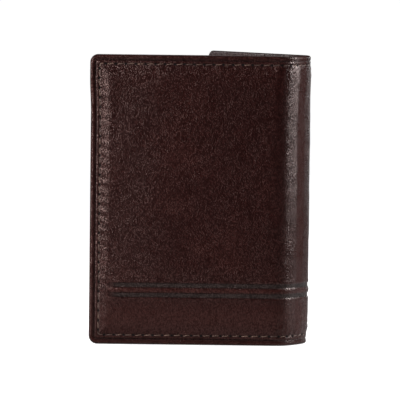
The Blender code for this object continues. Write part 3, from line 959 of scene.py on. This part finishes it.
# front leaf
for name, node, box, depths in (
    ("front_panel_leather", "front_inner_panel", (-68, -4, 1, 100.5), PANEL),
    ("front_slip_leather", "front_slip_panel", (-67, -5, 1.5, 90), SLIP),
    ("front_slot_leather", "front_card_slot", (-66, -6, 49.5, 80), FRONT_SLOT),
):
    inner_panel(name, node, "front_leaf", box, depths)
sew("front_inner_stitches", "front_leaf", [
    (SLIP[1], [(-7, 3.1), (-65.4, 3.1), (-66.1, 3.8), (-66.1, 89)]),
    (PANEL[1], [(-66.1, 91.2), (-66.1, 99)]),
    (FRONT_SLOT[1], [(-7.2, 50.6), (-64.8, 50.6), (-64.8, 79)]),
    (FRONT_SLOT[1], [(-7.2, 50.6), (-7.2, 79)]),
])

# coin pocket: a face on folded walls, which run down one side, along the bottom and up the other
POCKET = (-65.5, -8.5, 4.5, 47.0)
POCKET_FACE = (7.95, 8.55)
WALL_DEPTH, WALL_CORNER = (3.75, 7.98), 5.0
WALL_WIDTH = WALL_DEPTH[1] - WALL_DEPTH[0]
WALL_FOLD = 1.1  # how far the walls fold inwards
rise = POCKET[3] - POCKET[2] - WALL_CORNER
quarter = (WALL_CORNER * math.pi / 2, math.pi / 2)
wall_path = Path(
    (POCKET[0], POCKET[3]),
    -math.pi / 2,
    [(rise, 0), quarter, (POCKET[1] - POCKET[0] - 2 * WALL_CORNER, 0), quarter, (rise, 0)],
    even,
)


def wall_place(s, v, inward):
    fold = WALL_FOLD * np.sin(math.pi * np.clip(v / WALL_WIDTH, 0, 1)) ** 1.2
    x, z = wall_path.at(s, -(inward + fold))
    return front_inside(x, z, WALL_DEPTH[0] + v)


def u_line(start, end, low, high, cut, middle=None):
    """A seam from start to end at low, across, and back at high, with its two corners cut."""
    side = [(start, low), (end - cut, low), (end, low + cut)]
    if middle is not None:
        side.insert(2, (end - middle, low + middle))
    return side + [(s, low + high - v) for s, v in side[::-1]]


settle(
    shell(
        "coin_pocket_bellows", edge_lines(wall_path.length, 0.3, 0.8), edge_lines(WALL_WIDTH, 0.15, 0.3),
        (0, 0, 0, 0), wall_place, lambda s, v, d: (np.full_like(s, 0.02), np.full_like(s, 0.55)),
        INNER_LEATHER, rim=0.2,
    ),
    "front_leaf", "leather", "coin_pocket_gusset",
)
inner_panel(
    "coin_pocket_face", "coin_pocket_front", "front_leaf", POCKET, POCKET_FACE, radii=(5, 5, 0.8, 0.8),
    bow=0.12,
)
POCKET_INSET = 1.4
pocket_line = u_line(
    -POCKET[3] + 1.5, -POCKET[2] - POCKET_INSET, POCKET[0] + POCKET_INSET, POCKET[1] - POCKET_INSET, 3.6, 1,
)
pocket_line = [(across, -down) for down, across in pocket_line]
sew("coin_pocket_stitches", "front_leaf", [(POCKET_FACE[1] + 0.02, pocket_line)])

# coin flap: sewn on by its upper end, it bends out over the pocket's mouth and hangs over the face
FLAP_LENGTH = flap_path.length
FLAP_INSET = 2.3


def flap_sides(s, v, d):
    half = 0.2 + (FLAP_THICK / 2 - 0.2) * smooth(s, 5, 11)
    pressed = 0.12 * bump(d, 1.15, 0.22) * smooth(s, 8, 12)
    return -half + pressed, half


flap = shell(
    "coin_flap_skin",
    steps(
        (0, 0.4, 0.1), (0.4, FLAP_TAB, 0.5), (FLAP_TAB, FLAP_TURNED, 0.2),
        (FLAP_TURNED, FLAP_LENGTH - 2.4, 0.9), *far_edge(FLAP_LENGTH),
    ),
    panel_lines(FLAP_WIDTH, 1.1), (1, 6, 6, 1), flap_place, flap_sides, INNER_LEATHER, rim=0.3,
    marks={
        # painted shade darkens the flap's pressed line
        "dark": lambda s, v, d: 0.75 * bump(d, 1.15, 0.24) * smooth(s, 8, 12),
        "worn": lambda s, v, d: 0.6 * bump(d, 0.15, 0.35) + 0.5 * bump(s, 9.5, 2.0),
    },
)


def spot(place, x, z, depth):
    return Vector(place(x, z, depth)) * MM


# over its bend, the flap's leather passes from the front leaf to the flap
bend_top, bend_end = (spot(front_leaf_place, -37.0, *at) for at in ((51.6, 6.0), (47.6, 10.0)))
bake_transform(flap)
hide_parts("coin_flap_leather", "coin_flap_tab")
flap_line = u_line(
    FLAP_LENGTH - 18.5, FLAP_LENGTH - FLAP_INSET, FLAP_INSET, FLAP_WIDTH - FLAP_INSET, 4.2, 1.2,
)
sew(
    "coin_flap_stitches", "coin_flap", [(0, flap_line)],
    lambda s, v, depth: flap_place(s, v, -FLAP_THICK / 2 - depth),
)
sew("coin_flap_tab_stitches", "front_leaf", [(4.8, [(-63, 55.6), (-11, 55.6)])], front_leaf_place)

# snap fastener, as (radius, height) profiles
SNAP = (-37.0, 37.0)


def arc_profile(start, end, bulge, count=8):
    """Points from start to end on a shallow curve."""
    t = np.arange(count + 1) / count
    radius = start[0] + (end[0] - start[0]) * t
    height = start[1] + (end[1] - start[1]) * t + bulge * 4 * t * (1 - t)
    return list(zip(radius.tolist(), height.tolist()))


cap = arc_profile((0.001, 1.55), (3.6, 1.40), 0.05) + arc_profile((3.7, 1.30), (4.75, 1.12), 0.06, 5)
cap += arc_profile((4.95, 0.98), (5.0, 0.80), 0.0, 2) + [(4.6, 0.75), (1.15, 0.75), (1.15, 0.0), (0.001, 0.0)]
socket = [(2.7, 0.0), (2.7, 0.85), (3.0, 0.92), (4.3, 0.9), (4.65, 0.8), (4.8, 0.6), (4.75, 0.2), (4.5, 0.02)]
socket += [(3.4, -0.02), (2.7, 0.0)]
stud = [
    (1.2, 0.0), (1.2, 1.1), (1.3, 1.16), (1.6, 1.16), (1.85, 1.08), (1.98, 0.9), (1.95, 0.7), (1.72, 0.45),
    (1.7, 0.32), (1.8, 0.26), (3.5, 0.25), (3.75, 0.18), (3.8, 0.08), (3.75, 0.0), (1.2, 0.0),
]
post = [
    (0.001, 1.15), (0.8, 1.13), (1.0, 1.0), (1.0, 0.3), (2.8, 0.28), (3.0, 0.2), (2.9, 0.02), (0.001, 0.0),
]
for node, profile, depth, body in (
    ("snap_cap", cap, 9.85, "coin_flap"),
    ("snap_socket", socket, 8.95, "coin_flap"),
    ("snap_stud", stud, 8.62, "front_leaf"),
    ("snap_post", post, 7.97, "front_leaf"),
):
    centre = front_leaf_place(*SNAP, depth)
    settle(turned(node + "_brass", profile, centre, (0, 1, 0), BRASS), body, "metal", node)

# back leaf: a panel with three stepped card slots that open towards the spine
inner_panel(
    "back_panel_leather", "back_inner_panel", "back_leaf", (4, 68, 1, 100.5), PANEL, ("left", "top"),
)
SLOT_MOUTHS = (7.0, 14.0, 21.0)
SLOT_DEPTHS = (SLIP, (3.85, 4.35), (4.5, 5.0))
for number, (mouth, depths) in enumerate(zip(SLOT_MOUTHS, SLOT_DEPTHS), 1):
    inner_panel(
        f"back_slot_leather_{number}", f"back_card_slot_{number}", "back_leaf", (mouth, 66, 4, 98), depths,
        ("left",), (1, 1.5, 1.5, 1),
    )
slot_lines = [
    (depths[1], [(mouth + 0.3, z), (next_mouth - 0.3, z)])
    for depths, mouth, next_mouth in zip(SLOT_DEPTHS, SLOT_MOUTHS, (*SLOT_MOUTHS[1:], 65.3))
    for z in (5.4, 96.6)
]
border_line = (PANEL[1], [(5.5, 2.6), (66.2, 2.6), (66.9, 3.3), (66.9, 99)])
sew("back_inner_stitches", "back_leaf", [*slot_lines, border_line])

# third leaf: its leather starts at a tab on the back leaf and turns back over the card slots
THIRD_LOW, THIRD_HIGH = 4.0, 99.0
THIRD_INSET = 2.2
third_start = THIRD_FOLD_X - TAB_X
third_leaf_s = third_start + third_fold_length
third_length = third_path.length


def third_sides(s, v, d):
    half = 0.225 + 0.175 * smooth(s, third_leaf_s - 0.5, third_leaf_s + 3)
    pressed = PRESSED * bump(d, 1.1, 0.22) * smooth(s, third_leaf_s + 1, third_leaf_s + 4)
    belly = 0.12 * waves(s, v, 39.0) * smooth(d, 1, 12) * smooth(s, third_leaf_s + 2, third_leaf_s + 14)
    return -half + pressed - abs(belly), half


third = shell(
    "third_leaf_skin",
    steps(
        (0, 0.4, 0.1), (0.4, third_start, 0.7), (third_start, third_leaf_s, 0.15),
        (third_leaf_s, third_length - 2.4, 1.2), *far_edge(third_length),
    ),
    panel_lines(THIRD_HIGH - THIRD_LOW), (1, 3, 3, 1), third_place, third_sides, INNER_LEATHER, rim=0.35,
    v_from=THIRD_LOW,
    marks={
        # painted shade darkens the third leaf's pressed line
        "dark": lambda s, v, d: 0.75 * bump(d, 1.1, 0.24) * smooth(s, third_leaf_s + 1, third_leaf_s + 4),
        "worn": lambda s, v, d: 0.6 * bump(d, 0.2, 0.4) + 0.5 * bump(s, third_start + 2.4, 2.0),
    },
)
# over its bend, the leather passes from the back leaf to the third leaf
bend_out, bend_in = (spot(back_leaf_place, THIRD_FOLD_X, 52.0, depth) for depth in (5.6, 8.2))
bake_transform(third)
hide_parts("third_leaf_leather", "third_leaf_tab")
third_line = u_line(
    third_leaf_s + 3.5, third_length - THIRD_INSET, THIRD_LOW + THIRD_INSET, THIRD_HIGH - THIRD_INSET, 0.8,
)
sew(
    "third_leaf_stitches", "third_leaf", [(0, third_line)],
    lambda s, v, depth: third_place(s, v, -0.41 - depth), "third_seam_thread",
)
sew("third_tab_stitches", "back_leaf", [(5.6, [(62.4, 7.0), (62.4, 95.0)])], back_leaf_place)
inner_panel("third_panel_leather", "third_inner_panel", "third_leaf", (3, 58.2, 4.8, 98.2), (1.4, 1.9))


def film_sides(s, v, d):
    slack = 0.03 * waves(s, v, 26)
    return 2.06 + slack, 2.2 + slack


settle(
    shell(
        "window_film_sheet", thin_lines(49.5, 1.5), thin_lines(84, 1.7), (2, 2, 2, 2), third_leaf_place,
        film_sides, FILM, rim=0.07, s_from=6.0, v_from=8.0,
    ),
    "third_leaf", "film", "card_window_film",
)


def rounded_loop(x0, x1, z0, z1, radius, corner_steps=8, side_steps=(28, 44)):
    """Points round a rounded rectangle, the same number for any size."""
    low_x, high_x, low_z, high_z = x0 + radius, x1 - radius, z0 + radius, z1 - radius
    corners = ((high_x, low_z, -90), (high_x, high_z, 0), (low_x, high_z, 90), (low_x, low_z, 180))
    arcs = []
    for x, z, start in corners:
        angles = np.radians(start + 90 * np.arange(corner_steps + 1) / corner_steps)
        arcs.append(np.stack((x + radius * np.cos(angles), z + radius * np.sin(angles)), -1))
    parts = []
    for number, here in enumerate(arcs):
        count = side_steps[(number + 1) % 2]
        share = np.arange(1, count)[:, None] / count
        parts += [here, here[-1] + (arcs[(number + 1) % 4][0] - here[-1]) * share]
    return np.concatenate(parts)


def frame_shell(name, outer_loop, inner_loop, depths, place, look, rim=0.3):
    """A flat frame with an opening, rounded at both borders."""
    u = edge_lines(1.0, 0.05, 0.08)[:, None]
    x, z = (outer_loop[None, :, i] + (inner_loop - outer_loop)[None, :, i] * u for i in (0, 1))
    width = np.hypot(*(inner_loop - outer_loop).T)[None, :]
    share = edge_round(np.minimum(u, 1 - u) * width, rim)
    middle, half = sum(depths) / 2, (depths[1] - depths[0]) / 2
    pressed = PRESSED * bump((1 - u) * width, 1.1, 0.3)
    rows, count = x.shape
    index = np.arange(rows * count).reshape(rows, count)
    under = index.copy()
    under[1:-1] = rows * count + np.arange((rows - 2) * count).reshape(rows - 2, count)
    seen = points_of(place, x, z, middle + half * share - pressed).reshape(-1, 3)
    hidden = points_of(place, x, z, middle - half * share)[1:-1].reshape(-1, 3)
    faces = np.concatenate((quads(index, True), quads(under, True)[:, ::-1]))
    flat = np.stack((x / 100, z / 100, np.zeros_like(x)), -1)
    sheet = np.concatenate((flat.reshape(-1, 3), flat[1:-1].reshape(-1, 3) + np.array([0, 0, 1])))
    # painted shade along the pressed line
    dark = np.concatenate(((pressed * 5.5).ravel(), np.zeros((rows - 2) * count)))
    marks = {"sheet": sheet, "dark": dark}
    obj = make_object(name, np.concatenate((seen, hidden)), faces.tolist(), look, marks)
    face_outwards(obj)
    return obj


FRAME_BOX = (3.5, 58.2, 4.8, 96.0)
FRAME_DEPTHS = (2.35, 2.95)
FRAME_INSET = 1.7
opening = (FRAME_BOX[0] + 7, FRAME_BOX[1] - 7, FRAME_BOX[2] + 8, FRAME_BOX[3] - 8)
settle(
    frame_shell(
        "window_frame_leather", rounded_loop(*FRAME_BOX, 2.0), rounded_loop(*opening, 3.0), FRAME_DEPTHS,
        third_leaf_place, INNER_LEATHER,
    ),
    "third_leaf", "leather", "card_window_frame",
)
low_x, high_x, low_z, high_z = (edge + FRAME_INSET * way for edge, way in zip(FRAME_BOX, (1, -1, 1, -1)))
frame_line = [(low_x, low_z), (high_x, low_z), (high_x, high_z), (low_x, high_z), (low_x, low_z)]
sew("window_frame_stitches", "third_leaf", [(FRAME_DEPTHS[1], frame_line)])

# stiffening boards stay as the frame has them, between the leather and the lining
for node in ("front_stiffener", "back_stiffener", "third_stiffener"):
    board_object = frame["nodes"][node]
    for material_slot in board_object.material_slots:
        material_slot.material = BOARD


# --- studio ---


CENTRE = Vector((0, 0, 0.05))  # where the lights aim
# name, azimuth from the camera's side towards +X, elevation, distance, width and height, power, spread
LIGHTS = (
    ("left_softbox", -36, 16, 0.6, (0.12, 0.34), 0.52, 80),
    ("left_strip", -52, 16, 0.6, (0.12, 0.34), 0.64, 80),
    ("left_edge_strip", -70, 15, 0.6, (0.12, 0.34), 0.25, 80),
    ("right_panel", 99, 20, 0.55, (0.11, 0.34), 1.04, 80),
    ("right_fill", 50, 48, 1.2, (0.6, 0.6), 0.45, 80),
    ("left_back_strip", -140, 12, 1.2, (0.30, 0.9), 0.4, 60),
    ("right_back_strip", 152, 6, 1.2, (0.20, 0.36), 0.08, 60),
    ("back_fill", 180, 50, 1.4, (0.6, 0.6), 0.5, 60),
    ("overhead", 0, 89, 1.5, (1.6, 1.6), 0.12, 90),
)


def away_from(azimuth, elevation):
    """Direction from the wallet, with the azimuth counted from -Y towards +X, both in degrees."""
    a, e = math.radians(azimuth), math.radians(elevation)
    return Vector((math.sin(a) * math.cos(e), -math.cos(a) * math.cos(e), math.sin(e)))


def softbox(name, azimuth, elevation, distance, size, power, spread):
    away = away_from(azimuth, elevation)
    data = bpy.data.lights.new(name, "AREA")
    data.shape = "RECTANGLE"
    data.size, data.size_y = size
    data.energy = power
    data.spread = math.radians(spread)
    obj = add_to_scene(name, data)
    obj.location = CENTRE + away * distance
    obj.rotation_euler = away.to_track_quat("Z", "Y").to_euler()
    obj.visible_camera = False


def floor_material():
    """Pale floor that runs out into the white surroundings, with a soft shadow where the wallet stands: for
    the camera it glows less near the wallet, a painted shadow, and for other rays it glows faintly near the
    wallet, a painted glow that lights it from below.
    """
    n = Nodes("pale_floor")
    where = n.position()
    distance = n.add("ShaderNodeVectorMath", {"operation": "LENGTH"}, i0=where).outputs["Value"]
    seen = n.add("ShaderNodeLightPath").outputs["Is Camera Ray"]
    # painted shadow: the camera sees the floor glow less near the wallet
    glow = n.math("MULTIPLY", seen, n.ramp(distance, 0.06, 0.35, 0.80, 1.0))
    # painted glow near the wallet for all other rays
    glow = n.math("MAXIMUM", glow, n.ramp(distance, 0.08, 0.7, 0.05, 0.0))
    n.set(Base_Color=(0.60, 0.60, 0.60, 1), Roughness=0.95, Specular_IOR_Level=0.1)
    n.set(Emission_Color=(1, 1, 1, 1), Emission_Strength=glow)
    return n.material


def make_floor(extent=40, drop=0.0002):
    corners = [(-extent, -extent, 0), (extent, -extent, 0), (extent, extent, 0), (-extent, extent, 0)]
    mesh = bpy.data.meshes.new("floor")
    mesh.from_pydata(corners, [], [(0, 1, 2, 3)])
    mesh.materials.append(floor_material())
    obj = add_to_scene("floor", mesh)
    obj.location.z = -drop
    return obj


def make_surroundings(shown=1.0, light=0.03):
    """White behind the wallet, but hardly any light from all round."""
    world = bpy.data.worlds.new("studio")
    bpy.context.scene.world = world
    world.use_nodes = True
    tree = world.node_tree
    ray = tree.nodes.new("ShaderNodeLightPath")
    mixed = tree.nodes.new("ShaderNodeMix")
    mixed.data_type = "RGBA"
    mixed.inputs[6].default_value = (light, light, light, 1)
    mixed.inputs[7].default_value = (shown, shown, shown, 1)
    tree.links.new(ray.outputs["Is Camera Ray"], mixed.inputs[0])
    tree.links.new(mixed.outputs[2], tree.nodes["Background"].inputs["Color"])


def make_camera(azimuth=0.95, elevation=2.95, roll=0.64, distance=2.0, lens=490.3):
    """The camera at the photo's angle, aimed at the front leaf's right half."""
    data = bpy.data.cameras.new("camera")
    data.sensor_width = 36.0
    data.lens = lens
    data.clip_start, data.clip_end = 0.1, 100
    obj = add_to_scene("camera", data)
    back = away_from(azimuth, elevation)
    look_at = Vector((SPINE_FRONT[0] - 30.0, FRONT_FACE + 30.0, HEIGHT / 2)) * MM
    shift = Vector((0.00032, -0.00142, 0))
    facing = (-back).to_track_quat("-Z", "Y").to_matrix() @ Matrix.Rotation(math.radians(roll), 3, "Z")
    obj.location = look_at + back * distance + facing @ shift
    obj.rotation_euler = facing.to_euler()
    return obj


floor = make_floor()
make_surroundings()
for light in LIGHTS:
    softbox(*light)
bpy.context.scene.camera = make_camera()
bpy.context.scene.view_settings.view_transform = "Standard"
